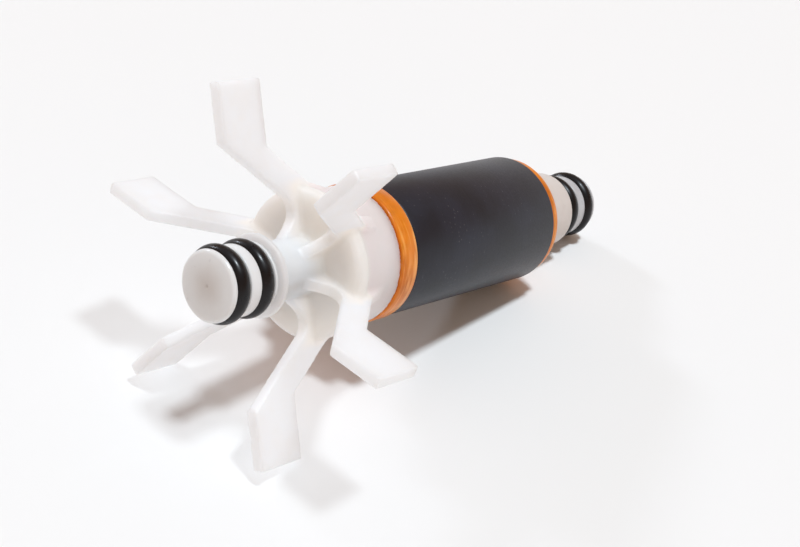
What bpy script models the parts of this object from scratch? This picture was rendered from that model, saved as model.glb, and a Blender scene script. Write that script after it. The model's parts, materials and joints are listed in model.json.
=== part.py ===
"""Rotor of a wave maker pump: shaft, O-ring caps, magnet rotor and a six-bladed impeller.

The rotor's own frame has its origin in the middle of the front cap's outer face.
Its +Z runs along the shaft to the rear, its +X is the world's +X, and its -Y is the
radial direction nearest to straight up. A station is a place along that +Z.
The rotor frame is an empty, which lays the rotor down as it rests: on two blade tips
and on the rear O-ring, with the front raised.
Sizes are in metres.
"""

import math

import bpy
from mathutils import Matrix, Vector

MM = 0.001

# Clearances
FIT_GAP = 0.3 * MM  # between pieces that touch or are pressed together
RUNNING_GAP = 0.1 * MM  # on the radius, wherever something turns or slides on the shaft
DOG_CLEARANCE = 0.5 * MM  # round whatever turns inside the drive cup

# Shaft
SHAFT_RADIUS = 1.5 * MM
SHAFT_CHAMFER = 0.3 * MM

# Caps and their O-rings, the same at both ends
CAP_RADIUS = 4.97 * MM
CAP_LENGTH = 8.5 * MM
CAP_END_WALL = 1.8 * MM
CAP_RIM_ROUNDING = 0.2 * MM
CAP_INNER_CHAMFER = 0.1 * MM
O_RING_OUTER_RADIUS = 5.46 * MM
O_RING_SECTION = 2.5 * MM
O_RING_FIRST = 2.03 * MM  # from the cap's outer face to the first ring's middle
O_RING_PITCH = 4.55 * MM

# Bearings
BUSHING_WALL = 1.0 * MM
WASHER_THICKNESS = 0.8 * MM
CORE_BUSHING_LENGTH = 7.5 * MM

# Magnet rotor
MAGNET_RADIUS = 10.0 * MM
MAGNET_LENGTH = 35.2 * MM
MAGNET_CHAMFER = 0.25 * MM
CORE_WALL = 1.1 * MM
CORE_LEAD = 4.5 * MM  # how far the core stands out before the cup's rear rim
CORE_BORE_CLEARANCE = 0.5 * MM  # round the shaft, between the bushings
FRONT_RING_OVERSIZE = 0.2 * MM
FRONT_RING_LENGTH = 3.3 * MM
REAR_RING_UNDERSIZE = 0.4 * MM
REAR_RING_LENGTH = 1.3 * MM
RING_CHAMFER = 0.2 * MM
REAR_COLLAR_RADIUS = 6.1 * MM
REAR_COLLAR_LENGTH = 9.8 * MM
COLLAR_CHAMFER = 0.3 * MM  # on the rotor's collars, front and rear

# Impeller hub: nose collar, boss, flange and the drive cup behind it
COLLAR_RADIUS = 5.9 * MM
COLLAR_LENGTH = 0.9 * MM
BOSS_WALL = 1.3 * MM
BOSS_LENGTH = 8.6 * MM
FLANGE_RADIUS = 10.8 * MM
FLANGE_THICKNESS = 1.8 * MM
FLANGE_ROUNDING = 0.9 * MM
CUP_OVERSIZE = 0.05 * MM  # on the magnet's radius
CUP_WALL = 1.8 * MM
CUP_FLOOR = 2.1 * MM
CUP_DEPTH = 7.7 * MM
DOG_WIDTH = 4.0 * MM
DRIVER_PLATE = 2.0 * MM

# Blades
BLADE_COUNT = 6
BLADE_THICKNESS = 1.8 * MM
BLADE_TIP_RADIUS = 26.35 * MM
PADDLE_LEAD = 12.9 * MM  # from the paddle's front edge back to the hub's flange
PADDLE_WIDTH = 8.0 * MM
FRONT_ELBOW_RADIUS = 18.0 * MM
REAR_ELBOW_RADIUS = 17.0 * MM
ARM_ANGLE = math.radians(37.2)  # between the arm's edges and the shaft
TIP_ROUNDING = 0.3 * MM
ELBOW_ROUNDING = 1.0 * MM
RIB_START = 3.0 * MM  # from the flange forward to where the rib leaves the boss
RIB_VALLEY_RADIUS = 8.0 * MM
RIB_VALLEY_ROUNDING = 3.2 * MM
GUSSET_REACH = 1.8 * MM  # both ways from the corner between the arm and the cup

# Facets
TURN_STEPS = 36
O_RING_SIDES = 8
ARC_STEPS = 3
SHARP_ANGLE = math.radians(30)

# Radii that follow
bushing_bore = SHAFT_RADIUS + RUNNING_GAP
bushing_radius = bushing_bore + BUSHING_WALL
bushing_seat = bushing_radius + FIT_GAP
boss_radius = bushing_seat + BOSS_WALL
core_radius = bushing_seat + CORE_WALL
core_hole = core_radius + FIT_GAP
cup_radius = MAGNET_RADIUS + CUP_OVERSIZE
cup_cavity = cup_radius - CUP_WALL
driver_radius = cup_cavity - DOG_CLEARANCE
dog_inner_radius = max(boss_radius, core_radius) + DOG_CLEARANCE

# Stations that follow, from the front to the rear
collar_front = CAP_LENGTH + FIT_GAP
collar_rear = collar_front + COLLAR_LENGTH
flange_front = collar_rear + BOSS_LENGTH
flange_rear = flange_front + FLANGE_THICKNESS
cup_floor = flange_front + CUP_FLOOR
cup_rear = cup_floor + CUP_DEPTH
front_ring_start = cup_rear + FIT_GAP
front_ring_end = front_ring_start + FRONT_RING_LENGTH
magnet_front = front_ring_end + FIT_GAP
magnet_rear = magnet_front + MAGNET_LENGTH
rear_ring_start = magnet_rear + FIT_GAP
rear_ring_end = rear_ring_start + REAR_RING_LENGTH
rear_collar_start = rear_ring_end + FIT_GAP
rear_collar_end = rear_collar_start + REAR_COLLAR_LENGTH
rear_cap_start = rear_collar_end + FIT_GAP
rotor_length = rear_cap_start + CAP_LENGTH
core_front = cup_rear - CORE_LEAD
driver_rear = cup_rear - DOG_CLEARANCE
driver_front = driver_rear - DRIVER_PLATE
paddle_front = flange_front - PADDLE_LEAD
paddle_rear = paddle_front + PADDLE_WIDTH


def clear_scene():
    for obj in list(bpy.data.objects):
        bpy.data.objects.remove(obj, do_unlink=True)


def new_collection(name):
    collection = bpy.data.collections.new(name)
    bpy.context.scene.collection.children.link(collection)
    return collection


def new_material(name, colour, roughness, metallic=0.0):
    material = bpy.data.materials.new(name)
    material.use_nodes = True
    shader = material.node_tree.nodes["Principled BSDF"]
    shader.inputs["Base Color"].default_value = (*colour, 1.0)
    shader.inputs["Roughness"].default_value = roughness
    shader.inputs["Metallic"].default_value = metallic
    return material


def rounded_outline(corners, closed=True):
    """The points of an outline whose corners are (x, y) or (x, y, radius), rounded by arcs."""
    points = []
    count = len(corners)
    for i, corner in enumerate(corners):
        at = Vector(corner[:2])
        radius = corner[2] if len(corner) > 2 else 0.0
        at_end = not closed and i in (0, count - 1)
        if radius == 0.0 or at_end:
            points.append(at)
            continue
        to_last = Vector(corners[i - 1][:2]) - at
        to_next = Vector(corners[(i + 1) % count][:2]) - at
        half = to_last.angle(to_next) / 2
        # The arc ends before the middle of the shorter side.
        reach = min(radius / math.tan(half), 0.49 * min(to_last.length, to_next.length))
        radius = reach * math.tan(half)
        bisector = (to_last.normalized() + to_next.normalized()).normalized()
        centre = at + bisector * (radius / math.sin(half))
        start = at + to_last.normalized() * reach - centre
        end = at + to_next.normalized() * reach - centre
        sweep = start.angle_signed(end)
        for step in range(ARC_STEPS + 1):
            turn = Matrix.Rotation(-sweep * step / ARC_STEPS, 2)
            points.append(centre + turn @ start)
    return points


def settle(obj):
    """Replaces the object's modifiers by the mesh that they make, and shades it."""
    graph = bpy.context.evaluated_depsgraph_get()
    mesh = bpy.data.meshes.new_from_object(obj.evaluated_get(graph))
    mesh.name = obj.name
    obj.modifiers.clear()
    obj.data = mesh
    mesh.shade_smooth()
    mesh.set_sharp_from_angle(angle=SHARP_ANGLE)


def join_helper(obj, helper):
    """Adds the helper's solid to the object's by a Boolean union."""
    union = obj.modifiers.new("union", "BOOLEAN")
    union.operation = "UNION"
    union.solver = "EXACT"
    union.object = helper
    settle(obj)


class Builder:
    """Makes the named objects of the rotor in the rotor's frame."""

    def __init__(self):
        self.parts = new_collection("wave_maker_rotor")
        self.helpers = new_collection("helpers")
        self.frame = bpy.data.objects.new("rotor_frame", None)
        self.parts.objects.link(self.frame)

    def adopt(self, obj, material):
        for collection in list(obj.users_collection):
            collection.objects.unlink(obj)
        self.parts.objects.link(obj)
        obj.parent = self.frame
        obj.data.materials.clear()
        obj.data.materials.append(material)
        return obj

    def turned(self, name, material, corners, on_axis=False):
        """A turned piece: corners are (radius, station), down the outer side from the rear."""
        outline = rounded_outline(corners, closed=not on_axis)
        mesh = bpy.data.meshes.new(name)
        edges = [(i, i + 1) for i in range(len(outline) - 1)]
        if not on_axis:
            edges.append((len(outline) - 1, 0))
        mesh.from_pydata([(x, 0.0, z) for x, z in outline], edges, [])
        obj = self.adopt(bpy.data.objects.new(name, mesh), material)
        screw = obj.modifiers.new("turn", "SCREW")
        screw.steps = screw.render_steps = TURN_STEPS
        screw.use_merge_vertices = True
        screw.merge_threshold = 1e-6
        settle(obj)
        return obj

    def tube(self, name, material, inner, outer, start, end, chamfer=0.0):
        """A tube, with its outer edges chamfered if a chamfer is given."""
        corners = [(inner, end), (outer, end), (outer, start), (inner, start)]
        if chamfer:
            corners[1:3] = [
                (outer - chamfer, end),
                (outer, end - chamfer),
                (outer, start + chamfer),
                (outer - chamfer, start),
            ]
        return self.turned(name, material, corners)

    def o_ring(self, name, material, station):
        bpy.ops.mesh.primitive_torus_add(
            major_segments=TURN_STEPS,
            minor_segments=O_RING_SIDES,
            major_radius=O_RING_OUTER_RADIUS - O_RING_SECTION / 2,
            minor_radius=O_RING_SECTION / 2,
            location=(0.0, 0.0, station),
        )
        obj = bpy.context.object
        obj.name = obj.data.name = name
        obj.data.shade_smooth()
        return self.adopt(obj, material)

    def dog(self, name, side, inner, outer, start, end):
        """A hidden block standing on the shaft's upper (-1) or lower (+1) side, to be joined."""
        bpy.ops.mesh.primitive_cube_add(size=1.0)
        block = bpy.context.object
        block.name = name
        block.parent = self.frame
        block.location = (0.0, side * (inner + outer) / 2, (start + end) / 2)
        block.scale = (DOG_WIDTH, outer - inner, end - start)
        for collection in list(block.users_collection):
            collection.objects.unlink(block)
        self.helpers.objects.link(block)
        block.hide_render = True
        block.display_type = "WIRE"
        return block


def add_shaft(build):
    ceramic = new_material("shaft_ceramic", (0.80, 0.78, 0.73), 0.25)
    washer_plastic = new_material("washer_plastic", (0.86, 0.85, 0.82), 0.35)
    start = CAP_END_WALL + FIT_GAP
    end = rotor_length - start
    build.turned(
        "shaft",
        ceramic,
        [
            (0.0, end),
            (SHAFT_RADIUS - SHAFT_CHAMFER, end),
            (SHAFT_RADIUS, end - SHAFT_CHAMFER),
            (SHAFT_RADIUS, start + SHAFT_CHAMFER),
            (SHAFT_RADIUS - SHAFT_CHAMFER, start),
            (0.0, start),
        ],
        on_axis=True,
    )
    front = collar_front
    rear = rear_collar_end - WASHER_THICKNESS
    for name, station in (("front_thrust_washer", front), ("rear_thrust_washer", rear)):
        build.tube(
            name, washer_plastic, bushing_bore, bushing_radius, station, station + WASHER_THICKNESS
        )


def cap_outline(place):
    """The cap's section. place turns a distance from its outer face into a station."""
    groove_floor = O_RING_OUTER_RADIUS - O_RING_SECTION - FIT_GAP
    half_groove = O_RING_SECTION / 2 + FIT_GAP
    corners = [(0.0, place(0.0)), (CAP_RADIUS, place(0.0), CAP_RIM_ROUNDING)]
    for ring in range(2):
        middle = O_RING_FIRST + ring * O_RING_PITCH
        corners += [
            (CAP_RADIUS, place(middle - half_groove)),
            (groove_floor, place(middle - half_groove)),
            (groove_floor, place(middle + half_groove)),
            (CAP_RADIUS, place(middle + half_groove)),
        ]
    corners += [
        (CAP_RADIUS, place(CAP_LENGTH - CAP_INNER_CHAMFER)),
        (CAP_RADIUS - CAP_INNER_CHAMFER, place(CAP_LENGTH)),
        (bushing_bore, place(CAP_LENGTH)),
        (bushing_bore, place(CAP_END_WALL)),
        (0.0, place(CAP_END_WALL)),
    ]
    return corners


def add_caps(build):
    plastic = new_material("cap_plastic", (0.86, 0.85, 0.82), 0.3)
    rubber = new_material("o_ring_rubber", (0.02, 0.02, 0.022), 0.25)

    def from_front(distance):
        return distance

    def from_rear(distance):
        return rotor_length - distance

    build.turned("front_cap", plastic, cap_outline(from_front)[::-1], on_axis=True)
    build.turned("rear_cap", plastic, cap_outline(from_rear), on_axis=True)
    for end, place in (("front", from_front), ("rear", from_rear)):
        build.o_ring(f"{end}_o_ring_outer", rubber, place(O_RING_FIRST))
        build.o_ring(f"{end}_o_ring_inner", rubber, place(O_RING_FIRST + O_RING_PITCH))


def add_magnet_rotor(build, bearing):
    ferrite = new_material("magnet_ferrite", (0.045, 0.045, 0.05), 0.5)
    resin = new_material("ring_resin", (0.80, 0.30, 0.03), 0.35)
    core_plastic = new_material("core_plastic", (0.84, 0.80, 0.77), 0.4)

    build.tube(
        "magnet", ferrite, core_hole, MAGNET_RADIUS, magnet_front, magnet_rear, MAGNET_CHAMFER
    )
    build.tube(
        "front_resin_ring",
        resin,
        core_hole,
        MAGNET_RADIUS + FRONT_RING_OVERSIZE,
        front_ring_start,
        front_ring_end,
        RING_CHAMFER,
    )
    build.tube(
        "rear_resin_ring",
        resin,
        core_hole,
        MAGNET_RADIUS - REAR_RING_UNDERSIZE,
        rear_ring_start,
        rear_ring_end,
        RING_CHAMFER,
    )
    build.tube(
        "rear_collar",
        core_plastic,
        core_hole,
        REAR_COLLAR_RADIUS,
        rear_collar_start,
        rear_collar_end,
        COLLAR_CHAMFER,
    )

    seat_end = core_front + CORE_BUSHING_LENGTH + FIT_GAP
    washer_front = rear_collar_end - WASHER_THICKNESS
    rear_bushing_end = washer_front - FIT_GAP
    rear_seat_start = rear_bushing_end - CORE_BUSHING_LENGTH - FIT_GAP
    middle_bore = SHAFT_RADIUS + CORE_BORE_CLEARANCE
    build.turned(
        "magnet_core",
        core_plastic,
        [
            (bushing_seat, rear_collar_end),
            (core_radius, rear_collar_end),
            (core_radius, core_front),
            (bushing_seat, core_front),
            (bushing_seat, seat_end),
            (middle_bore, seat_end),
            (middle_bore, rear_seat_start),
            (bushing_seat, rear_seat_start),
        ],
    )
    for name, start in (
        ("core_front_bushing", core_front),
        ("core_rear_bushing", rear_bushing_end - CORE_BUSHING_LENGTH),
    ):
        build.tube(name, bearing, bushing_bore, bushing_radius, start, start + CORE_BUSHING_LENGTH)

    driver = build.tube(
        "drive_dog", core_plastic, core_hole, driver_radius, driver_front, driver_rear
    )
    block = build.dog(
        "drive_dog_block",
        1,
        dog_inner_radius,
        driver_radius - FIT_GAP,
        cup_floor + FIT_GAP,
        driver_front + DRIVER_PLATE / 2,
    )
    join_helper(driver, block)


def add_impeller_hub(build, plastic, bearing):
    boss_rear = core_front - FIT_GAP
    hub = build.turned(
        "impeller_hub",
        plastic,
        [
            (cup_cavity, cup_rear),
            (cup_radius, cup_rear),
            (cup_radius, flange_rear),
            (FLANGE_RADIUS, flange_rear),
            (FLANGE_RADIUS, flange_front, FLANGE_ROUNDING),
            (boss_radius, flange_front),
            (boss_radius, collar_rear),
            (COLLAR_RADIUS - COLLAR_CHAMFER, collar_rear),
            (COLLAR_RADIUS, collar_rear - COLLAR_CHAMFER),
            (COLLAR_RADIUS, collar_front + COLLAR_CHAMFER),
            (COLLAR_RADIUS - COLLAR_CHAMFER, collar_front),
            (bushing_seat, collar_front),
            (bushing_seat, boss_rear),
            (boss_radius, boss_rear),
            (boss_radius, cup_floor),
            (cup_cavity, cup_floor),
        ],
    )
    block = build.dog(
        "hub_dog_block",
        -1,
        dog_inner_radius,
        cup_cavity + CUP_WALL / 2,
        cup_floor - CUP_FLOOR / 2,
        driver_front - FIT_GAP,
    )
    join_helper(hub, block)

    start = collar_front + WASHER_THICKNESS + FIT_GAP
    build.tube("impeller_bushing", bearing, bushing_bore, bushing_radius, start, boss_rear)


def blade_outline():
    """The blade's outline in a plane through the shaft, as (station, radius) corners."""
    along = 1 / math.tan(ARM_ANGLE)
    rib_foot = boss_radius + FIT_GAP
    front_side = flange_front - FIT_GAP
    rear_side = flange_rear + FIT_GAP
    flange_side = FLANGE_RADIUS + FIT_GAP
    cup_side = cup_radius + FIT_GAP
    valley = paddle_front + (FRONT_ELBOW_RADIUS - RIB_VALLEY_RADIUS) * along
    root = paddle_rear + (REAR_ELBOW_RADIUS - cup_side) * along
    gusset = (root - GUSSET_REACH * math.cos(ARM_ANGLE), cup_side + GUSSET_REACH * math.sin(ARM_ANGLE))
    return [
        (flange_front - RIB_START, rib_foot),
        (valley, RIB_VALLEY_RADIUS, RIB_VALLEY_ROUNDING),
        (paddle_front, FRONT_ELBOW_RADIUS, ELBOW_ROUNDING),
        (paddle_front, BLADE_TIP_RADIUS, TIP_ROUNDING),
        (paddle_rear, BLADE_TIP_RADIUS, TIP_ROUNDING),
        (paddle_rear, REAR_ELBOW_RADIUS, ELBOW_ROUNDING),
        gusset,
        (root + GUSSET_REACH, cup_side),
        (rear_side, cup_side),
        (rear_side, flange_side),
        (front_side, flange_side),
        (front_side, rib_foot),
    ]


def add_blade(build, number, plastic):
    """One flat blade, standing on the hub in a plane through the shaft."""
    angle = math.radians(30 + 360 / BLADE_COUNT * (number - 1))
    name = f"impeller_blade_{number}"
    curve = bpy.data.curves.new(name, "CURVE")
    curve.dimensions = "2D"
    curve.fill_mode = "BOTH"
    curve.extrude = BLADE_THICKNESS / 2
    outline = rounded_outline(blade_outline())
    spline = curve.splines.new("POLY")
    spline.points.add(len(outline) - 1)
    for point, (station, radius) in zip(spline.points, outline):
        point.co = (station, radius, 0.0, 1.0)
    spline.use_cyclic_u = True
    blade = build.adopt(bpy.data.objects.new(name, curve), plastic)
    along_shaft = Vector((0.0, 0.0, 1.0))
    outwards = Vector((math.sin(angle), -math.cos(angle), 0.0))
    axes = Matrix((along_shaft, outwards, along_shaft.cross(outwards))).transposed()
    blade.rotation_euler = axes.to_euler()
    return blade


def add_impeller(build, bearing):
    plastic = new_material("impeller_plastic", (0.90, 0.90, 0.90), 0.4)
    add_impeller_hub(build, plastic, bearing)
    for number in range(1, BLADE_COUNT + 1):
        add_blade(build, number, plastic)


def lay_down(frame):
    """Tilts and raises the rotor so that two blade tips and its lowest rear edge touch z = 0."""
    spread = math.radians(180 / BLADE_COUNT)
    tip_depth = BLADE_TIP_RADIUS * math.cos(spread) + BLADE_THICKNESS / 2 * math.sin(spread)
    rear_edges = (
        (magnet_rear - MAGNET_CHAMFER, MAGNET_RADIUS),
        (rear_ring_end - RING_CHAMFER, MAGNET_RADIUS - REAR_RING_UNDERSIZE),
        (rotor_length - O_RING_FIRST, O_RING_OUTER_RADIUS),
    )
    tilt = min(
        math.atan((tip_depth - radius) / (station - paddle_rear)) for station, radius in rear_edges
    )
    height = paddle_rear * math.sin(tilt) + tip_depth * math.cos(tilt)
    frame.rotation_euler = (-math.pi / 2 - tilt, 0.0, 0.0)
    frame.location = (0.0, -rotor_length / 2 * math.cos(tilt), height)


def main():
    clear_scene()
    build = Builder()
    bearing = new_material("bushing_ceramic", (0.75, 0.73, 0.70), 0.35)
    add_shaft(build)
    add_caps(build)
    add_magnet_rotor(build, bearing)
    add_impeller(build, bearing)
    lay_down(build.frame)


main()
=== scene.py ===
"""The looks of a wave maker pump's rotor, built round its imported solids.

The rotor lies on a pale studio floor: an impeller with six flat blades, a magnet between
two amber resin rings, and a plug with two O-rings on each end of the shaft.

Every shape is made in the rotor's own frame and then laid in its place. There, +Z runs
along the shaft to the rear, a station is a place along it from the front plug's face, and
-Y is the radial direction nearest to straight up. Sizes are in metres.
"""

from __future__ import annotations

import json
import logging
import math
from dataclasses import dataclass
from enum import Enum
from typing import Any, Iterable, Sequence, Union

import bmesh
import bpy
from mathutils import Matrix, Vector

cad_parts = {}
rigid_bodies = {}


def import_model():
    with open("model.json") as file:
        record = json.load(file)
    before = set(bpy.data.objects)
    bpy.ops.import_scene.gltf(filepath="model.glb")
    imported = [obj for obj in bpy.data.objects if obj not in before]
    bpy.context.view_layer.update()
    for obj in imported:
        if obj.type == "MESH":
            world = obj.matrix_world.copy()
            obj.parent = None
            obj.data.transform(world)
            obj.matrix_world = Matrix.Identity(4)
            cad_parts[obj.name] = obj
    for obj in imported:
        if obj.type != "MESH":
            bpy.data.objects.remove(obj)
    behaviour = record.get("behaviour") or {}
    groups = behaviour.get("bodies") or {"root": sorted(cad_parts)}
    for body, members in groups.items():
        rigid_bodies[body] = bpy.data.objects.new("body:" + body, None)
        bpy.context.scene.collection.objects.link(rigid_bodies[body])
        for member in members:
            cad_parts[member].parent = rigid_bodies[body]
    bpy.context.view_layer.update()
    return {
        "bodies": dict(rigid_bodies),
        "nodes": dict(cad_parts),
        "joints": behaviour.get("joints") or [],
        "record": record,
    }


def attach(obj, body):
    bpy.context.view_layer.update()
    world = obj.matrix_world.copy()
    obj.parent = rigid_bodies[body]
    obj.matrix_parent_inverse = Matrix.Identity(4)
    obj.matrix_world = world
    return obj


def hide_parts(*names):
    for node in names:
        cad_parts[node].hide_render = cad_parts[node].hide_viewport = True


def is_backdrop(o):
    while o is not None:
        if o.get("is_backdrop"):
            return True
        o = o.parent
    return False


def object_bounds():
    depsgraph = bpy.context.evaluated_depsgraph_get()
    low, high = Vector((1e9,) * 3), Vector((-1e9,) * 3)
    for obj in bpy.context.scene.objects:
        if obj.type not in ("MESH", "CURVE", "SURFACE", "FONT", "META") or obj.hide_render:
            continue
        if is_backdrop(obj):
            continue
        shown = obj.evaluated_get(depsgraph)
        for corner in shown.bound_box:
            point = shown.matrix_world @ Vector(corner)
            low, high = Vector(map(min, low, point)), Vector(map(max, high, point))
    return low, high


LOG = logging.getLogger("rotor")
MM = 0.001
MERGE_STEP = 1e-7
SAME_PLACE = 1e-6

Colour = tuple[float, float, float]
Corner = tuple[float, float, float]


class Slot(Enum):
    """The record's material slots that the finishes of the visible pieces stand for."""

    CAP = "cap_plastic"
    O_RING = "o_ring_rubber"
    MAGNET = "magnet_ferrite"
    RESIN = "ring_resin"
    CORE = "core_plastic"
    IMPELLER = "impeller_plastic"


class Body(Enum):
    """The bodies that pieces ride on."""

    MAGNET_ROTOR = "magnet_rotor"
    IMPELLER = "impeller"
    FRONT_CAP = "front_cap"
    REAR_CAP = "rear_cap"


# ---- the rotor's frame


@dataclass
class ShaftLine:
    """The rotor's own frame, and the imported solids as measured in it.

    Attributes:
        matrix: Turns a point of the rotor's frame into a point of the world.
        nodes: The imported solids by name.
    """

    matrix: Matrix
    nodes: dict[str, bpy.types.Object]

    @classmethod
    def of(cls, frame: dict[str, Any]) -> ShaftLine:
        """Reads the shaft's line from the joint that the magnet turns on.


        Returns:
            The rotor's frame.
        """
        spin = next(joint for joint in frame["joints"] if joint["name"] == "rotor_spin")
        along = Vector(spin["axis"]).normalized()
        side = Vector((1.0, 0.0, 0.0))
        turn = Matrix((side, along.cross(side), along)).transposed().to_4x4()
        return cls(Matrix.Translation(spin["pos_m"]) @ turn, frame["nodes"])

    def _points(self, node: str) -> list[Vector]:
        """The solid's points in the rotor's frame."""
        back = self.matrix.inverted()
        return [back @ vertex.co for vertex in self.nodes[node].data.vertices]

    def span(self, node: str) -> tuple[float, float]:
        """The solid's first and last station."""
        stations = [point.z for point in self._points(node)]
        return min(stations), max(stations)

    def reach(self, node: str) -> float:
        """The solid's largest radius."""
        return max(point.xy.length for point in self._points(node))

    def hole(self, node: str) -> float:
        """The solid's smallest radius."""
        return min(point.xy.length for point in self._points(node))


# ---- shader tools

Value = Union["Signal", float, Sequence[float]]

# The colour sockets of a Mix node, which shares its sockets' names among several types.
MIX_SOCKETS = (0, 6, 7)
MIX_RESULT = 2


class Signal:
    """A shader node's output. Python's operators on it add Math nodes."""

    def __init__(self, graph: ShaderGraph, socket: bpy.types.NodeSocket) -> None:
        """Wraps the socket of a node in the graph."""
        self.graph = graph
        self.socket = socket

    def _math(self, operation: str, *values: Value) -> Signal:
        """Adds one Math node on the values."""
        inputs = dict(enumerate(values))
        return self.graph.node("ShaderNodeMath", {"operation": operation}, inputs)

    def __add__(self, other: Value) -> Signal:
        """self + other."""
        return self._math("ADD", self, other)

    def __sub__(self, other: Value) -> Signal:
        """self - other."""
        return self._math("SUBTRACT", self, other)

    def __mul__(self, other: Value) -> Signal:
        """self * other."""
        return self._math("MULTIPLY", self, other)

    def __pow__(self, other: Value) -> Signal:
        """self ** other."""
        return self._math("POWER", self, other)

    def ramp(self, low: float, high: float, start: float = 0.0, end: float = 1.0) -> Signal:
        """Carries low..high over to start..end, with a soft start and a soft stop.

        Args:
            low: The value that gives start.
            high: The value that gives end.
            start: The result at low and below.
            end: The result at high and above.

        Returns:
            The carried value.
        """
        settings = {"interpolation_type": "SMOOTHSTEP"}
        names = ("Value", "From Min", "From Max", "To Min", "To Max")
        inputs = dict(zip(names, (self, low, high, start, end)))
        return self.graph.node("ShaderNodeMapRange", settings, inputs, "Result")


class ShaderGraph:
    """The nodes of a material or of the sky."""

    def __init__(self, owner: bpy.types.ID, shader: str = "Principled BSDF") -> None:
        """Takes the owner's own nodes.

        Args:
            owner: The material or the world.
            shader: The name of its main shader node.
        """
        owner.use_nodes = True
        self.owner = owner
        self.tree = owner.node_tree
        self.shader = self.tree.nodes[shader]

    @classmethod
    def of_material(cls, name: str) -> ShaderGraph:
        """Makes a material and takes its nodes."""
        return cls(bpy.data.materials.new(name))

    def node(
        self,
        kind: str,
        settings: dict[str, Any],
        inputs: dict[Any, Value],
        output: str | int = 0,
    ) -> Signal:
        """Adds a node.

        Args:
            kind: The node's type.
            settings: Its properties, which are set first.
            inputs: The values or links of its sockets, by name or number.
            output: The output that is wanted.

        Returns:
            That output.
        """
        made = self.tree.nodes.new(kind)
        for key, value in settings.items():
            setattr(made, key, value)
        for key, value in inputs.items():
            self.feed(made.inputs[key], value)
        return Signal(self, made.outputs[output])

    def feed(self, socket: bpy.types.NodeSocket, value: Value) -> None:
        """Links a signal to the socket, or sets the socket's own value."""
        if isinstance(value, Signal):
            self.tree.links.new(value.socket, socket)
        else:
            socket.default_value = value

    def place(self) -> Signal:
        """The surface point in the world at rest."""
        return self.node("ShaderNodeTexCoord", {}, {}, "Object")

    def rotor_place(self, line: ShaftLine) -> Signal:
        """The surface point in the rotor's frame."""
        back = line.matrix.inverted()
        inputs = {
            "Vector": self.place(),
            "Location": back.translation,
            "Rotation": back.to_euler(),
        }
        return self.node("ShaderNodeMapping", {"vector_type": "POINT"}, inputs)

    def stretch(self, place: Signal, scale: Sequence[float]) -> Signal:
        """The point, scaled along each axis."""
        return self.node("ShaderNodeMapping", {}, {"Vector": place, "Scale": scale})

    def parts(self, place: Signal) -> tuple[Signal, Signal, Signal]:
        """The point's X, Y and Z."""
        x = self.node("ShaderNodeSeparateXYZ", {}, {"Vector": place}, "X")
        outputs = x.socket.node.outputs
        return x, Signal(self, outputs["Y"]), Signal(self, outputs["Z"])

    def radius(self, place: Signal) -> Signal:
        """The point's distance from the Z axis."""
        x, y, _ = self.parts(place)
        return (x * x + y * y) ** 0.5

    def noise(self, place: Signal, scale: float, detail: float = 2.0) -> Signal:
        """A cloud pattern from 0 to 1."""
        inputs = {"Vector": place, "Scale": scale, "Detail": detail}
        return self.node("ShaderNodeTexNoise", {}, inputs, 0)

    def cells(self, place: Signal, scale: float) -> Signal:
        """The distance to the nearest point of an even scatter."""
        return self.node("ShaderNodeTexVoronoi", {}, {"Vector": place, "Scale": scale}, "Distance")

    def mix(self, share: Value, first: Value, second: Value) -> Signal:
        """A colour between two colours."""
        colours = [
            value if isinstance(value, Signal) else (*value, 1.0) for value in (first, second)
        ]
        inputs = dict(zip(MIX_SOCKETS, (share, *colours)))
        return self.node("ShaderNodeMix", {"data_type": "RGBA"}, inputs, MIX_RESULT)

    def bump(self, height: Signal, depth: float, strength: float = 1.0) -> Signal:
        """A normal that leans as the height does, over the depth in metres."""
        inputs = {"Height": height, "Distance": depth, "Strength": strength}
        return self.node("ShaderNodeBump", {}, inputs)

    def finish(self, **inputs: Value) -> bpy.types.ID:
        """Sets the shader's sockets, named with _ for each space, and returns the owner."""
        for key, value in inputs.items():
            name = " ".join(word if word == "IOR" else word.capitalize() for word in key.split("_"))
            self.feed(self.shader.inputs[name], value)
        return self.owner


# ---- finishes


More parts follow.
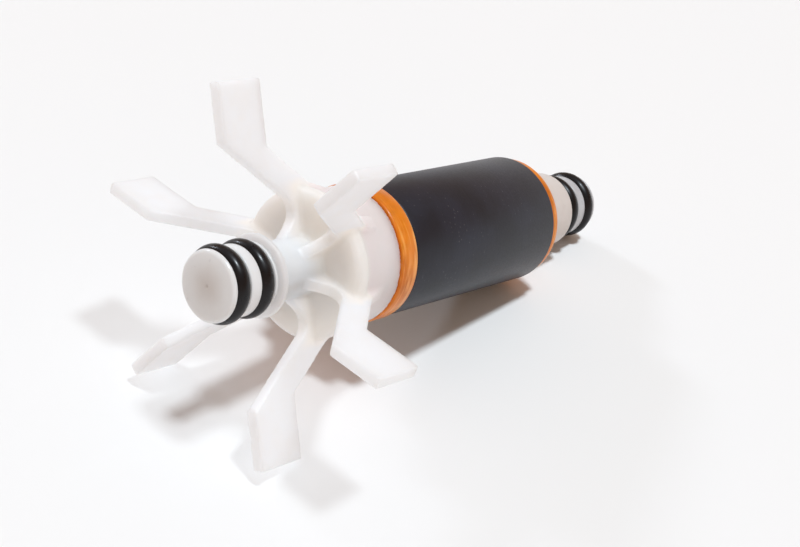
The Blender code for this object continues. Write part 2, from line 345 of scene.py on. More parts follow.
@dataclass(frozen=True)
class MilkyPlastic:
    """The impeller's translucent moulding plastic.

    Attributes:
        name: The material's name.
        thin: Its colour where the moulding is thin.
        flange_colour: Its colour on the flange and the ribs' feet.
        cup_colour: Its colour on the cup, which has the driver inside it.
        cloud: The colour of its faint clouds.
        blend: How far two neighbouring colours run into each other.
        wander: How far the border between them wanders.
        rib_reach: How far forward the flange's colour runs up the ribs.
        scatter: How far light travels in it.
    """

    name: str = "milky_plastic"
    thin: Colour = (0.785, 0.795, 0.82)
    flange_colour: Colour = (0.90, 0.83, 0.76)
    cup_colour: Colour = (0.88, 0.73, 0.71)
    cloud: Colour = (0.76, 0.72, 0.68)
    blend: float = 1.6 * MM
    wander: float = 2.0 * MM
    rib_reach: float = 4.0 * MM
    scatter: float = 8.0 * MM

    def make(self, line: ShaftLine, flange: float, cup: float) -> bpy.types.Material:
        """Builds the material in the rotor's frame.

        Args:
            line: The rotor's frame.
            flange: The station of the flange's front.
            cup: The station of the flange's rear, where the cup starts.

        Returns:
            The material.
        """
        graph = ShaderGraph.of_material(self.name)
        place = graph.rotor_place(line)
        cloud = graph.noise(place, 260.0, 3.0)
        rim = line.reach("magnet") + self.blend / 2
        drift = (cloud - 0.5) * self.wander
        inside = (graph.radius(place) + drift).ramp(rim, rim + self.blend, 1.0, 0.0)
        station = graph.parts(place)[2] + drift
        dull = graph.mix(
            station.ramp(cup, cup + self.blend), self.flange_colour, self.cup_colour
        )
        colour = graph.mix(inside * station.ramp(flange - self.rib_reach, flange), self.thin, dull)
        shaded = graph.mix(cloud.ramp(0.4, 0.75, 0.0, 0.25), colour, self.cloud)
        grain = graph.noise(place, 2600.0, 2.0)
        return graph.finish(
            base_color=shaded,
            roughness=cloud * 0.12 + 0.36,
            subsurface_weight=1.0,
            subsurface_radius=(1.0, 0.93, 0.88),
            subsurface_scale=self.scatter,
            IOR=1.49,
            normal=graph.bump(grain, 0.012 * MM, 0.5),
        )


@dataclass(frozen=True)
class CapPlastic:
    """A plug's white plastic, darker in the middle of its face, where the shaft's end is near.

    Attributes:
        name: The material's name.
        body: Its colour.
        heart: Its colour in the middle of the face.
        heart_share: How much of that colour shows there.
        heart_radius: How far that darker middle reaches.
        heart_wander: How far its border wanders.
        gate_share: How much of that colour shows in the spot that the mould's gate left.
        gate_radius: That spot's radius.
        face_depth: How deep below the face the darker middle goes.
    """

    name: str
    body: Colour = (0.88, 0.88, 0.88)
    heart: Colour = (0.54, 0.48, 0.44)
    heart_share: float = 0.66
    heart_radius: float = 4.4 * MM
    heart_wander: float = 1.2 * MM
    gate_share: float = 0.3
    gate_radius: float = 0.45 * MM
    face_depth: float = 0.6 * MM

    def make(self, line: ShaftLine, face: float) -> bpy.types.Material:
        """Builds the material.

        Args:
            line: The rotor's frame.
            face: The station of the plug's outer face.

        Returns:
            The material.
        """
        graph = ShaderGraph.of_material(self.name)
        place = graph.rotor_place(line)
        radius = graph.radius(place)
        station = graph.parts(place)[2]
        depth = ((station - face) ** 2.0) ** 0.5
        on_face = depth.ramp(0.0, self.face_depth, 1.0, 0.0)
        cloud = graph.noise(place, 420.0, 3.0)
        wander = radius + (cloud - 0.5) * self.heart_wander
        heart = wander.ramp(0.0, self.heart_radius, self.heart_share, 0.0)
        gate = radius.ramp(0.0, self.gate_radius, self.gate_share, 0.0)
        colour = graph.mix((heart + gate) * on_face, self.body, self.heart)
        grain = graph.noise(place, 1800.0, 2.0)
        return graph.finish(
            base_color=colour,
            roughness=cloud * 0.10 + 0.24,
            subsurface_weight=0.5,
            subsurface_radius=(1.0, 0.95, 0.9),
            subsurface_scale=1.2 * MM,
            coat_weight=0.15,
            coat_roughness=0.18,
            normal=graph.bump(grain, 0.008 * MM, 0.5),
        )


@dataclass(frozen=True)
class PlainPlastic:
    """Moulded off-white plastic of the core, its collar and the washers.

    Attributes:
        name: The material's name.
        light: Its usual colour.
        dark: Its colour in patches.
        roughness: Its lowest roughness.
    """

    name: str
    light: Colour = (0.66, 0.60, 0.56)
    dark: Colour = (0.62, 0.555, 0.515)
    roughness: float = 0.34

    def make(self, line: ShaftLine) -> bpy.types.Material:
        """Builds the material in the rotor's frame."""
        graph = ShaderGraph.of_material(self.name)
        place = graph.rotor_place(line)
        cloud = graph.noise(place, 300.0, 3.0)
        grain = graph.noise(place, 2400.0, 2.0)
        return graph.finish(
            base_color=graph.mix(cloud.ramp(0.35, 0.7), self.light, self.dark),
            roughness=cloud * 0.12 + self.roughness,
            subsurface_weight=0.35,
            subsurface_radius=(1.0, 0.9, 0.85),
            subsurface_scale=1.0 * MM,
            normal=graph.bump(grain, 0.01 * MM, 0.5),
        )


@dataclass(frozen=True)
class Rubber:
    """The O-rings' black rubber, half glossy, with faint dust and a fine skin.

    Attributes:
        name: The material's name.
        black: The rubber's colour.
        dust: The colour of the dust on it.
    """

    name: str = "black_rubber"
    black: Colour = (0.006, 0.005, 0.006)
    dust: Colour = (0.05, 0.04, 0.045)

    def make(self, line: ShaftLine) -> bpy.types.Material:
        """Builds the material in the rotor's frame."""
        graph = ShaderGraph.of_material(self.name)
        place = graph.rotor_place(line)
        cloud = graph.noise(place, 700.0, 4.0)
        specks = graph.cells(place, 1900.0).ramp(0.10, 0.24, 1.0, 0.0)
        dust = specks * cloud.ramp(0.5, 0.66)
        grain = graph.noise(place, 1500.0, 3.0)
        return graph.finish(
            base_color=graph.mix(dust * 0.5, self.black, self.dust),
            roughness=cloud.ramp(0.3, 0.7, 0.26, 0.40),
            IOR=1.38,
            normal=graph.bump(grain, 0.02 * MM, 0.45),
        )


@dataclass(frozen=True)
class Ferrite:
    """The magnet's ground ferrite: charcoal, half matt, with fine pits and grinding lines.

    Attributes:
        name: The material's name.
        dark: Its usual colour.
        light: Its colour in the lighter patches.
        speck: The colour of its few light grains.
    """

    name: str = "ground_ferrite"
    dark: Colour = (0.005, 0.006, 0.012)
    light: Colour = (0.012, 0.014, 0.026)
    speck: Colour = (0.13, 0.12, 0.12)

    def make(self, line: ShaftLine) -> bpy.types.Material:
        """Builds the material in the rotor's frame."""
        graph = ShaderGraph.of_material(self.name)
        place = graph.rotor_place(line)
        cloud = graph.noise(place, 130.0, 4.0)
        grain = graph.noise(place, 3200.0, 3.0)
        lines = graph.noise(graph.stretch(place, (60.0, 60.0, 2600.0)), 1.0, 2.0)
        pits = graph.cells(place, 1250.0).ramp(0.06, 0.20, 1.0, 0.0) * cloud.ramp(0.45, 0.62)
        colour = graph.mix(cloud.ramp(0.3, 0.7), self.dark, self.light)
        colour = graph.mix(pits * 0.35, colour, self.speck)
        height = grain * 0.6 + lines * 0.5 - pits * 1.2
        return graph.finish(
            base_color=colour,
            roughness=grain * 0.18 + 0.32,
            IOR=1.45,
            normal=graph.bump(height, 0.02 * MM, 0.6),
        )


@dataclass(frozen=True)
class AmberResin:
    """The cast resin of the rings: amber, half glossy, streaked round the shaft.

    Attributes:
        name: The material's name.
        amber: Its usual colour.
        brown: Its colour where it is thick or dirty.
        pale: Its colour in the thin streaks.
    """

    name: str = "amber_resin"
    amber: Colour = (0.76, 0.215, 0.010)
    brown: Colour = (0.50, 0.115, 0.006)
    pale: Colour = (0.92, 0.42, 0.10)

    def make(self, line: ShaftLine) -> bpy.types.Material:
        """Builds the material in the rotor's frame."""
        graph = ShaderGraph.of_material(self.name)
        place = graph.rotor_place(line)
        cloud = graph.noise(place, 240.0, 4.0)
        streaks = graph.noise(graph.stretch(place, (160.0, 160.0, 1500.0)), 1.0, 4.0)
        grain = graph.noise(place, 1700.0, 3.0)
        colour = graph.mix(cloud.ramp(0.36, 0.68, 0.0, 0.75), self.amber, self.brown)
        colour = graph.mix(streaks.ramp(0.46, 0.70, 0.0, 0.8), colour, self.pale)
        height = streaks * 0.7 + grain * 0.4
        return graph.finish(
            base_color=colour,
            roughness=cloud * 0.18 + 0.22,
            subsurface_weight=0.3,
            subsurface_radius=(1.0, 0.45, 0.12),
            subsurface_scale=1.2 * MM,
            IOR=1.3,
            coat_weight=0.2,
            coat_roughness=0.12,
            normal=graph.bump(height, 0.03 * MM, 0.6),
        )


@dataclass(frozen=True)
class GroundCeramic:
    """Ground ceramic of the shaft and the bushings, with fine lines round it.

    Attributes:
        name: The material's name.
        light: Its usual colour.
        dark: The colour of its grinding lines.
    """

    name: str
    light: Colour = (0.80, 0.78, 0.73)
    dark: Colour = (0.66, 0.64, 0.60)

    def make(self, line: ShaftLine) -> bpy.types.Material:
        """Builds the material in the rotor's frame."""
        graph = ShaderGraph.of_material(self.name)
        place = graph.rotor_place(line)
        lines = graph.noise(graph.stretch(place, (120.0, 120.0, 5200.0)), 1.0, 3.0)
        cloud = graph.noise(place, 350.0, 3.0)
        return graph.finish(
            base_color=graph.mix(lines.ramp(0.45, 0.75, 0.0, 0.7), self.light, self.dark),
            roughness=cloud * 0.12 + 0.16,
            IOR=1.7,
            normal=graph.bump(lines, 0.006 * MM, 0.5),
        )


@dataclass(frozen=True)
class StudioSurface:
    """The studio's pale, half matt floor.

    Attributes:
        name: The material's name.
        colour: Its colour.
        roughness: Its roughness.
        index: Its refractive index, which is low, so that it mirrors little.
    """

    name: str = "studio_surface"
    colour: Colour = (0.88, 0.88, 0.875)
    roughness: float = 0.45
    index: float = 1.3

    def make(self) -> bpy.types.Material:
        """Builds the material."""
        graph = ShaderGraph.of_material(self.name)
        colour = (*self.colour, 1.0)
        return graph.finish(base_color=colour, roughness=self.roughness, IOR=self.index)


# ---- mesh tools


@dataclass
class Bench:
    """Makes finished pieces: a mesh laid in its place, dressed, riding on its body."""

    line: ShaftLine

    def new_mesh(self, name: str, work: bmesh.types.BMesh) -> bpy.types.Object:
        """Puts the bmesh in a new object.

        Args:
            name: The object's name.
            work: The shape in the rotor's frame. It is freed.

        Returns:
            The object, with the shape still in the rotor's frame.
        """
        mesh = bpy.data.meshes.new(name)
        work.to_mesh(mesh)
        work.free()
        made = bpy.data.objects.new(name, mesh)
        bpy.context.scene.collection.objects.link(made)
        return made

    def adopt(
        self,
        piece: bpy.types.Object,
        material: bpy.types.Material,
        slot: Slot,
        body: Body,
        nodes: Sequence[str],
        sharp_degrees: float = 40.0,
    ) -> bpy.types.Object:
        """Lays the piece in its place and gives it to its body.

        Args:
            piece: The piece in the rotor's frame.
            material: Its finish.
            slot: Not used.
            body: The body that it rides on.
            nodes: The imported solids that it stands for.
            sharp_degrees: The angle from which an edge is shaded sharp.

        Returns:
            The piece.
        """
        mesh = piece.data
        mesh.transform(self.line.matrix)
        mesh.shade_smooth()
        mesh.set_sharp_from_angle(angle=math.radians(sharp_degrees))
        mesh.materials.clear()
        mesh.materials.append(material)
        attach(piece, body.value)
        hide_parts(*nodes)
        triangles = sum(len(polygon.vertices) - 2 for polygon in mesh.polygons)
        LOG.info("%s: %d triangles, for %s", piece.name, triangles, ", ".join(nodes))
        return piece

    def dress(self, nodes: Iterable[str], material: bpy.types.Material) -> None:
        """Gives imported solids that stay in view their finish."""
        for name in nodes:
            mesh = self.line.nodes[name].data
            mesh.materials.clear()
            mesh.materials.append(material)
            LOG.info("%s: kept, %s", name, material.name)


def spin_round(work: bmesh.types.BMesh, steps: int) -> None:
    """Turns the section in the bmesh round the shaft into a closed skin."""
    bmesh.ops.spin(
        work,
        geom=work.verts[:] + work.edges[:],
        cent=(0.0, 0.0, 0.0),
        axis=(0.0, 0.0, 1.0),
        angle=math.tau,
        steps=steps,
        use_merge=True,
    )
    bmesh.ops.remove_doubles(work, verts=work.verts, dist=MERGE_STEP)
    bmesh.ops.recalc_face_normals(work, faces=work.faces)


def turn(corners: Sequence[Corner], steps: int, round_steps: int = 3) -> bmesh.types.BMesh:
    """Turns a closed section round the shaft and rounds its rings.

    Args:
        corners: The section as (radius, station, rounding). A corner on the axis has
            radius 0, and the first and the last corner may both be there.
        steps: The facets round the shaft.
        round_steps: The segments of each rounding.

    Returns:
        The turned solid.
    """
    work = bmesh.new()
    points = [work.verts.new((radius, 0.0, station)) for radius, station, _ in corners]
    for first, second in zip(points, points[1:]):
        work.edges.new((first, second))
    if corners[0][0] > 0.0:
        work.edges.new((points[-1], points[0]))
    spin_round(work, steps)
    for radius, station, rounding in corners:
        if rounding > 0.0:
            bmesh.ops.bevel(
                work,
                geom=ring_at(work, radius, station),
                offset=rounding,
                offset_type="OFFSET",
                segments=round_steps,
                profile=0.5,
                affect="EDGES",
                clamp_overlap=True,
                material=-1,
            )
    return work


def ring_at(work: bmesh.types.BMesh, radius: float, station: float) -> list[bmesh.types.BMEdge]:
    """The edges that run round the shaft at this radius and station."""

    def is_there(point: bmesh.types.BMVert) -> bool:
        """Says whether the point is on that ring."""
        away = max(abs(point.co.z - station), abs(point.co.xy.length - radius))
        return away < SAME_PLACE

    return [edge for edge in work.edges if all(is_there(point) for point in edge.verts)]


def torus(major: float, minor: float, station: float, steps: int, sides: int) -> bmesh.types.BMesh:
    """A ring of round section, turned round the shaft.

    Args:
        major: The radius of the section's middle.
        minor: The section's radius.
        station: Where the ring stands.
        steps: The facets round the shaft.
        sides: The facets round the section.

    Returns:
        The ring.
    """
    work = bmesh.new()
    upright = Matrix.Rotation(math.pi / 2, 4, "X")
    place = Matrix.Translation((major, 0.0, station)) @ upright
    bmesh.ops.create_circle(work, segments=sides, radius=minor, matrix=place)
    spin_round(work, steps)
    return work


# ---- sub-assemblies


@dataclass
class Plug:
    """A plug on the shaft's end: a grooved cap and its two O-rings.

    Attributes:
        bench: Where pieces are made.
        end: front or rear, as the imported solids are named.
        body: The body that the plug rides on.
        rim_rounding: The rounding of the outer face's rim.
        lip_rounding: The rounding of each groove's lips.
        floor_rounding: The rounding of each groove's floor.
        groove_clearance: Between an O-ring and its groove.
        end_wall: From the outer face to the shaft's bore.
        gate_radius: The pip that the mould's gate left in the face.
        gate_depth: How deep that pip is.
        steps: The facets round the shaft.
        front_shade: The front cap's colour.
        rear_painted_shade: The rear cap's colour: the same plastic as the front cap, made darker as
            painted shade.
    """

    bench: Bench
    end: str
    body: Body
    rim_rounding: float = 0.55 * MM
    lip_rounding: float = 0.12 * MM
    floor_rounding: float = 0.55 * MM
    groove_clearance: float = 0.06 * MM
    end_wall: float = 1.8 * MM
    gate_radius: float = 0.30 * MM
    gate_depth: float = 0.10 * MM
    steps: int = 128
    front_shade: Colour = (0.81, 0.81, 0.81)
    # Painted shade: the rear cap is the same plastic as the front one, given a darker colour.
    rear_painted_shade: Colour = (0.51, 0.51, 0.525)

    def build(self, rubber: bpy.types.Material) -> list[bpy.types.Object]:
        """Builds the cap and the O-rings.

        Args:
            rubber: The O-rings' finish.

        Returns:
            The pieces.
        """
        line = self.bench.line
        node = f"{self.end}_cap"
        start, end = line.span(node)
        is_front = self.end == "front"
        face, sign = (start, 1.0) if is_front else (end, -1.0)
        rings = [f"{self.end}_o_ring_outer", f"{self.end}_o_ring_inner"]
        corners = self._section(node, rings, face, sign)
        work = turn(corners, self.steps)
        cap = self.bench.new_mesh(f"{self.end}_plug", work)
        # The rear cap takes the darker colour, which is painted shade on the same plastic.
        shade = self.front_shade if is_front else self.rear_painted_shade
        material = CapPlastic(f"{self.end}_cap_plastic", shade).make(line, face)
        self.bench.adopt(cap, material, Slot.CAP, self.body, [node])
        return [cap, *(self._o_ring(ring, rubber) for ring in rings)]

    def _section(
        self, node: str, rings: Sequence[str], face: float, sign: float
    ) -> list[Corner]:
        """The cap's section, from the middle of its face round to the bore's end."""
        line = self.bench.line
        radius, bore = line.reach(node), line.reach("shaft") + 0.1 * MM
        length = line.span(node)[1] - line.span(node)[0]
        corners = [
            (0.0, self.gate_depth, 0.0),
            (self.gate_radius * 0.6, self.gate_depth, 0.05 * MM),
            (self.gate_radius, 0.0, 0.08 * MM),
            (radius, 0.0, self.rim_rounding),
        ]
        for ring in rings:
            first, last = line.span(ring)
            middle = abs((first + last) / 2 - face)
            half = (last - first) / 2 + self.groove_clearance
            floor = line.reach(ring) - (last - first) - self.groove_clearance
            corners += [
                (radius, middle - half, self.lip_rounding),
                (floor, middle - half, self.floor_rounding),
                (floor, middle + half, self.floor_rounding),
                (radius, middle + half, self.lip_rounding),
            ]
        corners += [
            (radius, length, 0.3 * MM),
            (bore, length, 0.25 * MM),
            (bore, self.end_wall, 0.2 * MM),
            (0.0, self.end_wall, 0.0),
        ]
        return [(r, face + sign * depth, rounding) for r, depth, rounding in corners]

    def _o_ring(self, node: str, rubber: bpy.types.Material) -> bpy.types.Object:
        """Builds the O-ring that stands for the node."""
        line = self.bench.line
        first, last = line.span(node)
        minor = (last - first) / 2
        work = torus(line.reach(node) - minor, minor, (first + last) / 2, self.steps, 32)
        ring = self.bench.new_mesh(f"{node}_rubber", work)
        return self.bench.adopt(ring, rubber, Slot.O_RING, self.body, [node], 80.0)


@dataclass
class MagnetRotor:
    """The magnet, the resin ring at each end of it, and the collar behind.

    Attributes:
        bench: Where pieces are made.
        magnet_rounding: The rounding of the magnet's edges.
        ring_rounding: The rounding of the resin rings' edges.
        collar_rounding: The rounding of the collar's edges.
        ring_gap: Between a resin ring and its neighbours.
        steps: The facets round the shaft.
    """

    bench: Bench
    magnet_rounding: float = 0.22 * MM
    ring_rounding: float = 0.32 * MM
    collar_rounding: float = 0.45 * MM
    ring_gap: float = 0.12 * MM
    steps: int = 192

    def build(self) -> None:
        """Builds the magnet, the rings and the collar."""
        line = self.bench.line
        resin = AmberResin().make(line)
        magnet_front, magnet_rear = line.span("magnet")
        cup_rear = line.span("impeller_hub")[1]
        collar_front = line.span("rear_collar")[0]
        ferrite = Ferrite().make(line)
        collar = PlainPlastic("collar_plastic").make(line)
        front = (cup_rear + 2 * self.ring_gap, magnet_front - self.ring_gap)
        rear = (magnet_rear + self.ring_gap, collar_front - self.ring_gap)
        rounding = self.ring_rounding
        for sleeve in (
            ("magnet_sleeve", "magnet", ferrite, Slot.MAGNET, self.magnet_rounding),
            ("front_amber_ring", "front_resin_ring", resin, Slot.RESIN, rounding, front),
            ("rear_amber_ring", "rear_resin_ring", resin, Slot.RESIN, rounding, rear),
            ("rear_spacer", "rear_collar", collar, Slot.CORE, self.collar_rounding),
        ):
            self._sleeve(*sleeve)

    def _sleeve(
        self,
        name: str,
        node: str,
        material: bpy.types.Material,
        slot: Slot,
        rounding: float,
        span: tuple[float, float] | None = None,
    ) -> None:
        """Builds a sleeve with the node's radii.

        Args:
            name: The piece's name.
            node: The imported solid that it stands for.
            material: Its finish.
            slot: The record's slot for that finish.
            rounding: The rounding of its outer edges.
            span: Its first and last station, or the node's.
        """
        line = self.bench.line
        start, end = span or line.span(node)
        hole, reach = line.hole(node), line.reach(node)
        corners = [
            (hole, start, 0.0),
            (reach, start, rounding),
            (reach, end, rounding),
            (hole, end, 0.0),
        ]
        sleeve = self.bench.new_mesh(name, turn(corners, self.steps))
        self.bench.adopt(sleeve, material, slot, Body.MAGNET_ROTOR, [node])


@dataclass
class Impeller:
    """The impeller, one moulding: nose collar, boss, flange, drive cup and six blades.

    Attributes:
        bench: Where pieces are made.
        blade_count: How many blades stand round the hub.
        first_angle: The first blade's angle from the upward direction towards +X.
        bushing_seat: The radius of the bore for the bushing.
        boss_radius: The boss behind the nose collar.
        collar_radius: The nose collar's radius.
        collar_lead: How much further forward than its solid the collar reaches.
        collar_length: The nose collar's length.
        boss_length: From the nose collar to the flange.
        flange_thickness: The flange's thickness.
        cup_floor: From the flange's front to the cup's floor.
        cup_wall: The drive cup's wall.
        dog_width: The width of the cup's driving dog.
        dog_depth: How far that dog stands out of the cup's floor.
        paddle_lead: From a paddle's front edge back to the flange.
        paddle_width: A paddle's width along the shaft.
        front_elbow: The radius at which a blade's front edge bends.
        rear_elbow: The radius at which a blade's rear edge bends.
        arm_angle: Between the arm's edges and the shaft, in degrees.
        blade_thickness: A blade's thickness.
        rib_length: From the front of a blade's rib to the flange.
        valley_radius: The radius at which the rib's front edge turns up into the arm.
        valley_rounding: The rounding of that corner.
        elbow_rounding: The rounding of the elbows.
        tip_rounding: The rounding of the paddle's corners.
        gusset: How far the gusset between the arm and the cup reaches both ways.
        root_depth: How deep a blade's root goes into the hub.
        voxel: The step of the mesh that joins the shapes.
        inner_lean: How far, in voxels, a point leans inward for its corner to be an inner one.
        fillet_rounds: How often inner corners are smoothed.
        overall_rounds: How often the whole skin is smoothed, and how far a fillet spreads.
        hub_steps: The facets round the hub.
    """

    bench: Bench
    blade_count: int = 6
    first_angle: float = 30.0
    bushing_seat: float = 2.9 * MM
    boss_radius: float = 4.2 * MM
    collar_radius: float = 5.9 * MM
    collar_lead: float = 0.18 * MM
    collar_length: float = 0.9 * MM
    boss_length: float = 8.6 * MM
    flange_thickness: float = 1.8 * MM
    cup_floor: float = 2.1 * MM
    cup_wall: float = 1.8 * MM
    dog_width: float = 4.0 * MM
    dog_depth: float = 4.9 * MM
    paddle_lead: float = 12.9 * MM
    paddle_width: float = 8.0 * MM
    front_elbow: float = 18.0 * MM
    rear_elbow: float = 17.0 * MM
    arm_angle: float = 37.2
    blade_thickness: float = 1.8 * MM
    rib_length: float = 3.7 * MM
    valley_radius: float = 8.0 * MM
    valley_rounding: float = 3.2 * MM
    elbow_rounding: float = 1.0 * MM
    tip_rounding: float = 0.35 * MM
    gusset: float = 2.2 * MM
    root_depth: float = 0.7 * MM
    voxel: float = 0.25 * MM
    inner_lean: float = 0.12
    fillet_rounds: int = 14
    overall_rounds: int = 2
    hub_steps: int = 144

    def build(self) -> bpy.types.Object:
        """Builds the moulding from its hub, dog and blades, and fillets it."""
        line = self.bench.line
        blades = [f"impeller_blade_{number + 1}" for number in range(self.blade_count)]
        work = self._hub()
        self._add_dog(work)
        for number, node in enumerate(blades):
            angle = math.radians(self.first_angle + number * 360.0 / self.blade_count)
            self._add_blade(work, line.reach(node), angle)
        moulding = self.bench.new_mesh("impeller_moulding", work)
        self._fuse(moulding)
        self._fillet(moulding)
        flange = self._stations()[1]
        plastic = MilkyPlastic().make(line, flange, flange + self.flange_thickness)
        nodes = ["impeller_hub", *blades]
        return self.bench.adopt(moulding, plastic, Slot.IMPELLER, Body.IMPELLER, nodes, 180.0)

    def _stations(self) -> tuple[float, float, float]:
        """The stations of the hub's front, the flange's front and the cup's rear rim."""
        front, rear = self.bench.line.span("impeller_hub")
        return front, front + self.collar_length + self.boss_length, rear

    def _hub(self) -> bmesh.types.BMesh:
        """The turned hub."""
        front, flange, rear = self._stations()
        line = self.bench.line
        nose, shoulder = front - self.collar_lead, front + self.collar_length
        cup_radius = line.reach("magnet") + 0.05 * MM
        flange_radius = line.reach("impeller_hub")
        seat, boss, cavity = self.bushing_seat, self.boss_radius, cup_radius - self.cup_wall
        floor = flange + self.cup_floor
        sleeve = line.span("impeller_bushing")[1]
        corners = [
            (seat, nose, 0.0),
            (self.collar_radius, nose, 0.3 * MM),
            (self.collar_radius, shoulder, 0.5 * MM),
            (boss, shoulder, 0.0),
            (boss, flange, 0.0),
            (flange_radius, flange, 0.8 * MM),
            (flange_radius, flange + self.flange_thickness, 0.0),
            (cup_radius, flange + self.flange_thickness, 0.0),
            (cup_radius, rear, 0.0),
            (cavity, rear, 0.0),
            (cavity, floor, 0.0),
            (boss, floor, 0.0),
            (boss, sleeve, 0.0),
            (seat, sleeve, 0.0),
        ]
        return turn(corners, self.hub_steps)

    def _add_dog(self, work: bmesh.types.BMesh) -> None:
        """Adds the dog that the magnet rotor drives, on the cup's upper side."""
        _, flange, _ = self._stations()
        line = self.bench.line
        inner = self.boss_radius + 0.5 * MM
        outer = line.reach("magnet") - self.cup_wall / 2
        front = flange + self.cup_floor / 2
        rear = flange + self.cup_floor + self.dog_depth
        place = Matrix.Translation((0.0, -(inner + outer) / 2, (front + rear) / 2))
        size = Matrix.Diagonal((self.dog_width, outer - inner, rear - front, 1.0))
        bmesh.ops.create_cube(work, size=1.0, matrix=place @ size)

    def _blade_corners(self, tip: float) -> list[Corner]:
        """The blade's outline as (station, radius, rounding), rooted inside the hub."""
        _, flange, _ = self._stations()
        arm = math.radians(self.arm_angle)
        along = 1.0 / math.tan(arm)
        cup_radius = self.bench.line.reach("magnet")
        front = flange - self.paddle_lead
        rear = front + self.paddle_width
        valley = front + (self.front_elbow - self.valley_radius) * along
        root = rear + (self.rear_elbow - cup_radius) * along
        gusset = root - self.gusset * math.cos(arm), cup_radius + self.gusset * math.sin(arm)
        rooted, buried = self.boss_radius - self.root_depth, cup_radius - self.root_depth
        inside = flange + self.flange_thickness / 2
        return [
            (flange - self.rib_length, rooted, 0.0),
            (flange - self.rib_length, self.boss_radius, 0.0),
            (valley, self.valley_radius, self.valley_rounding),
            (front, self.front_elbow, self.elbow_rounding),
            (front, tip, self.tip_rounding),
            (rear, tip, self.tip_rounding),
            (rear, self.rear_elbow, self.elbow_rounding),
            (*gusset, self.elbow_rounding),
            (root + self.gusset, cup_radius, 0.0),
            (root + self.gusset, buried, 0.0),
            (inside, buried, 0.0),
            (inside, rooted, 0.0),
        ]

    def _add_blade(self, work: bmesh.types.BMesh, tip: float, angle: float) -> None:
        """Adds one blade, a flat plate in a plane through the shaft.

        Args:
            work: The moulding so far.
            tip: The radius that the blade reaches.
            angle: The blade's angle from the upward direction towards +X.
        """
        plate = bmesh.new()
        corners = self._blade_corners(tip)
        half = self.blade_thickness / 2
        points = [plate.verts.new((-half, -radius, station)) for station, radius, _ in corners]
        plate.faces.new(points)
        for point, (_, _, rounding) in zip(points, corners):
            if rounding > 0.0:
                sides = [edge.other_vert(point).co - point.co for edge in point.link_edges]
                reach = rounding / math.tan(sides[0].angle(sides[1]) / 2)
                bmesh.ops.bevel(
                    plate,
                    geom=[point],
                    offset=reach,
                    offset_type="WIDTH",
                    segments=5,
                    profile=0.5,
                    affect="VERTICES",
                    clamp_overlap=True,
                    material=-1,
                )
        grown = bmesh.ops.extrude_face_region(plate, geom=plate.faces[:])
        raised = [part for part in grown["geom"] if isinstance(part, bmesh.types.BMVert)]
        bmesh.ops.translate(plate, verts=raised, vec=(self.blade_thickness, 0.0, 0.0))
        bmesh.ops.recalc_face_normals(plate, faces=plate.faces)
        bmesh.ops.rotate(plate, verts=plate.verts, matrix=Matrix.Rotation(angle, 3, "Z"))
        mesh = bpy.data.meshes.new("blade_plate")
        plate.to_mesh(mesh)
        plate.free()
        work.from_mesh(mesh)
        bpy.data.meshes.remove(mesh)

    def _fuse(self, moulding: bpy.types.Object) -> None:
        """Joins the overlapping shapes into one skin."""
        remesh = moulding.modifiers.new("fuse", "REMESH")
        remesh.mode = "VOXEL"
        remesh.voxel_size = self.voxel
        graph = bpy.context.evaluated_depsgraph_get()
        fused = bpy.data.meshes.new_from_object(moulding.evaluated_get(graph))
        moulding.modifiers.clear()
        rough = moulding.data
        moulding.data = fused
        bpy.data.meshes.remove(rough)

    def _fillet(self, moulding: bpy.types.Object) -> None:
        """Rounds inner corners widely and outer edges a little."""
        work = bmesh.new()
        work.from_mesh(moulding.data)
        work.normal_update()
        inner: set[bmesh.types.BMVert] = set()
        for point in work.verts:
            around = [edge.other_vert(point).co for edge in point.link_edges]
            lean = sum(around, Vector()) / len(around) - point.co
            if lean.dot(point.normal) > self.inner_lean * self.voxel:
                inner.add(point)
        for _ in range(self.overall_rounds):
            inner |= {edge.other_vert(point) for point in inner for edge in point.link_edges}
        corners = sorted(inner, key=lambda point: point.index)
        for _ in range(self.fillet_rounds):
            self._smooth(work, corners)
        for _ in range(self.overall_rounds):
            self._smooth(work, work.verts)
        work.to_mesh(moulding.data)
        work.free()

    def _smooth(self, work: bmesh.types.BMesh, points: Iterable[bmesh.types.BMVert]) -> None:
        """Moves the points half way to the middle of their neighbours."""
        bmesh.ops.smooth_vert(
            work,
            verts=list(points),
            factor=0.5,
            use_axis_x=True,
            use_axis_y=True,
            use_axis_z=True,
        )


@dataclass
class InnerParts:
    """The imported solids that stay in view: shaft, washers, core, bushings and driver."""

    bench: Bench

    def build(self) -> None:
        """Gives each of them its finish."""
        line = self.bench.line
        self.bench.dress(["shaft"], GroundCeramic("shaft_ground").make(line))
        bushing = GroundCeramic("bushing_ground", (0.75, 0.73, 0.70), (0.60, 0.58, 0.55))
        bushings = ["core_front_bushing", "core_rear_bushing", "impeller_bushing"]
        self.bench.dress(bushings, bushing.make(line))
        washer = PlainPlastic("washer_white", (0.86, 0.85, 0.82), (0.78, 0.77, 0.74), 0.28)
        self.bench.dress(["front_thrust_washer", "rear_thrust_washer"], washer.make(line))
        core = PlainPlastic("core_white").make(line)
        self.bench.dress(["magnet_core", "drive_dog"], core)


# ---- studio


@dataclass(frozen=True)
class Lamp:
    """A far light, so that the whole floor is lit alike.

    Attributes:
        name: The light's name.
        azimuth: Where it stands round the rotor, 0 at -Y and 90 at +X, in degrees.
        elevation: How high it stands, in degrees.
        spread: The angle that it fills as seen from the rotor, in degrees.
        strength: Its strength in watts per square metre.
        colour: Its colour.
        shines_through: Whether it shines through the pale pieces at the front, which then
            cast no shadow from it.
    """

    name: str
    azimuth: float
    elevation: float
    spread: float
    strength: float
    colour: Colour
    shines_through: bool = False


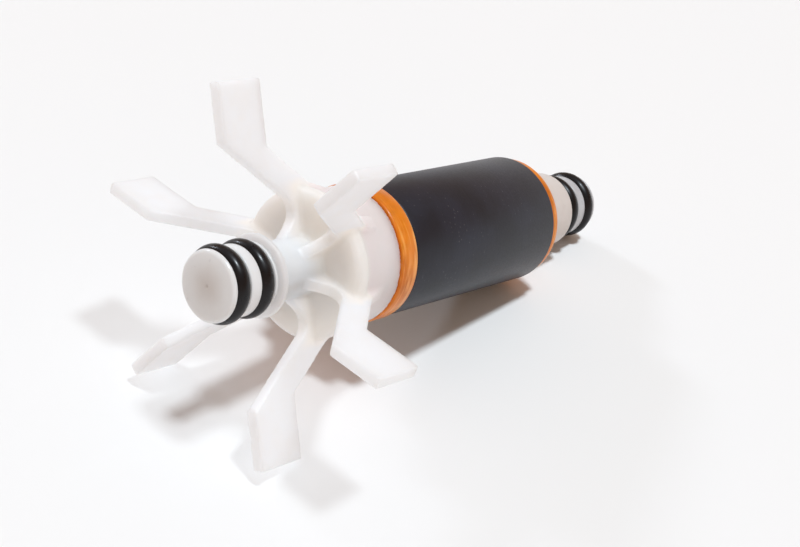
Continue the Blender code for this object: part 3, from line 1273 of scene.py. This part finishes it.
@dataclass
class Studio:
    """The camera, the lamps, the sky and the floor.

    Attributes:
        lens: The lens's focal length in millimetres, on a sensor 36 mm wide.
        azimuth: Where the camera stands round the rotor, in degrees.
        elevation: How high it stands, in degrees.
        roll: How far it leans to its left, in degrees.
        distance: From the camera to the point that it looks at.
        target: That point, measured from the middle of the rotor's box.
        floor_side: The floor's side.
        zenith: The light from straight above.
        low_sky: The warm light from lower down.
        backdrop: The pale backdrop that stands all round at the horizon.
        backdrop_top: Where the backdrop starts to give way, as the sine of its elevation.
        backdrop_end: Where it is gone.
        lamps: The lamps.
    """

    lens: float = 72.39
    azimuth: float = 36.924
    elevation: float = 36.386
    roll: float = 10.304
    distance: float = 0.23836
    target: tuple[float, float, float] = (0.00342, -0.00643, -0.00978)
    floor_side: float = 6.0
    zenith: Colour = (0.33, 0.31, 0.305)
    low_sky: Colour = (0.48, 0.20, 0.02)
    backdrop: Colour = (0.84, 0.84, 0.85)
    backdrop_top: float = 0.14
    backdrop_end: float = 0.26
    lamps: tuple[Lamp, ...] = (
        Lamp("key_lamp", 124.0, 79.0, 7.0, 0.78, (0.835, 0.93, 1.0)),
        Lamp("key_glow", 124.0, 79.0, 7.0, 1.67, (0.835, 0.93, 1.0), True),
        Lamp("side_lamp", 270.0, 27.0, 8.0, 0.20, (0.80, 0.88, 1.0)),
        Lamp("side_glow", 270.0, 27.0, 8.0, 0.39, (0.80, 0.88, 1.0), True),
    )

    def _stand(self, azimuth: float, elevation: float, distance: float) -> Vector:
        """A place round the origin."""
        turn_angle, rise = math.radians(azimuth), math.radians(elevation)
        level = distance * math.cos(rise)
        return Vector(
            (level * math.sin(turn_angle), -level * math.cos(turn_angle), distance * math.sin(rise))
        )

    def build(self, centre: Vector, pale: Iterable[bpy.types.Object]) -> None:
        """Sets up the studio.

        Args:
            centre: The middle of the rotor's box.
            pale: The pieces that some of the lamps shine through.
        """
        unshaded = bpy.data.collections.new("pale_pieces")
        for piece in pale:
            unshaded.objects.link(piece)
        for entry in unshaded.collection_objects:
            entry.light_linking.link_state = "EXCLUDE"
        self._camera(centre)
        self._sky()
        for lamp in self.lamps:
            made = self._lamp(lamp)
            if lamp.shines_through:
                made.light_linking.blocker_collection = unshaded
        self._floor()

    def _camera(self, centre: Vector) -> None:
        """Makes the camera."""
        data = bpy.data.cameras.new("camera")
        data.lens = self.lens
        data.clip_start = 0.01
        camera = bpy.data.objects.new("camera", data)
        away = self._stand(self.azimuth, self.elevation, self.distance)
        camera.location = centre + Vector(self.target) + away
        level = (-away).to_track_quat("-Z", "Y").to_matrix()
        leaning = level @ Matrix.Rotation(math.radians(self.roll), 3, "Z")
        camera.rotation_euler = leaning.to_euler()
        bpy.context.scene.collection.objects.link(camera)
        bpy.context.scene.camera = camera

    def _sky(self) -> None:
        """Makes the light from all round."""
        graph = ShaderGraph(bpy.data.worlds.new("studio_sky"), "Background")
        way = graph.node("ShaderNodeTexCoord", {}, {}, "Generated")
        height = graph.parts(way)[2]
        sky = graph.mix(height.ramp(0.0, 1.0), self.low_sky, self.zenith)
        colour = graph.mix(height.ramp(self.backdrop_top, self.backdrop_end), self.backdrop, sky)
        bpy.context.scene.world = graph.finish(color=colour)
        bpy.context.scene.view_settings.view_transform = "Standard"

    def _lamp(self, lamp: Lamp) -> bpy.types.Object:
        """Makes one lamp."""
        data = bpy.data.lights.new(lamp.name, "SUN")
        data.angle = math.radians(lamp.spread)
        data.energy = lamp.strength
        data.color = lamp.colour
        made = bpy.data.objects.new(lamp.name, data)
        away = self._stand(lamp.azimuth, lamp.elevation, 1.0)
        made.location = away
        made.rotation_euler = (-away).to_track_quat("-Z", "Y").to_euler()
        bpy.context.scene.collection.objects.link(made)
        return made

    def _floor(self) -> None:
        """Makes the floor that the rotor lies on."""
        work = bmesh.new()
        bmesh.ops.create_grid(work, x_segments=1, y_segments=1, size=self.floor_side / 2)
        mesh = bpy.data.meshes.new("studio_floor")
        work.to_mesh(mesh)
        work.free()
        mesh.materials.append(StudioSurface().make())
        floor = bpy.data.objects.new("studio_floor", mesh)
        bpy.context.scene.collection.objects.link(floor)
        floor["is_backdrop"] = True


def main() -> None:
    """Builds the rotor's looks and the studio round it."""
    logging.basicConfig(level=logging.INFO, format="%(name)s: %(message)s")
    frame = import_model()
    low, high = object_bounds()
    line = ShaftLine.of(frame)
    bench = Bench(line)
    rubber = Rubber().make(line)
    nose = Plug(bench, "front", Body.FRONT_CAP).build(rubber)
    Plug(bench, "rear", Body.REAR_CAP).build(rubber)
    MagnetRotor(bench).build()
    moulding = Impeller(bench).build()
    InnerParts(bench).build()
    Studio().build((low + high) / 2, [moulding, *nose])


if __name__ == "__main__":
    main()
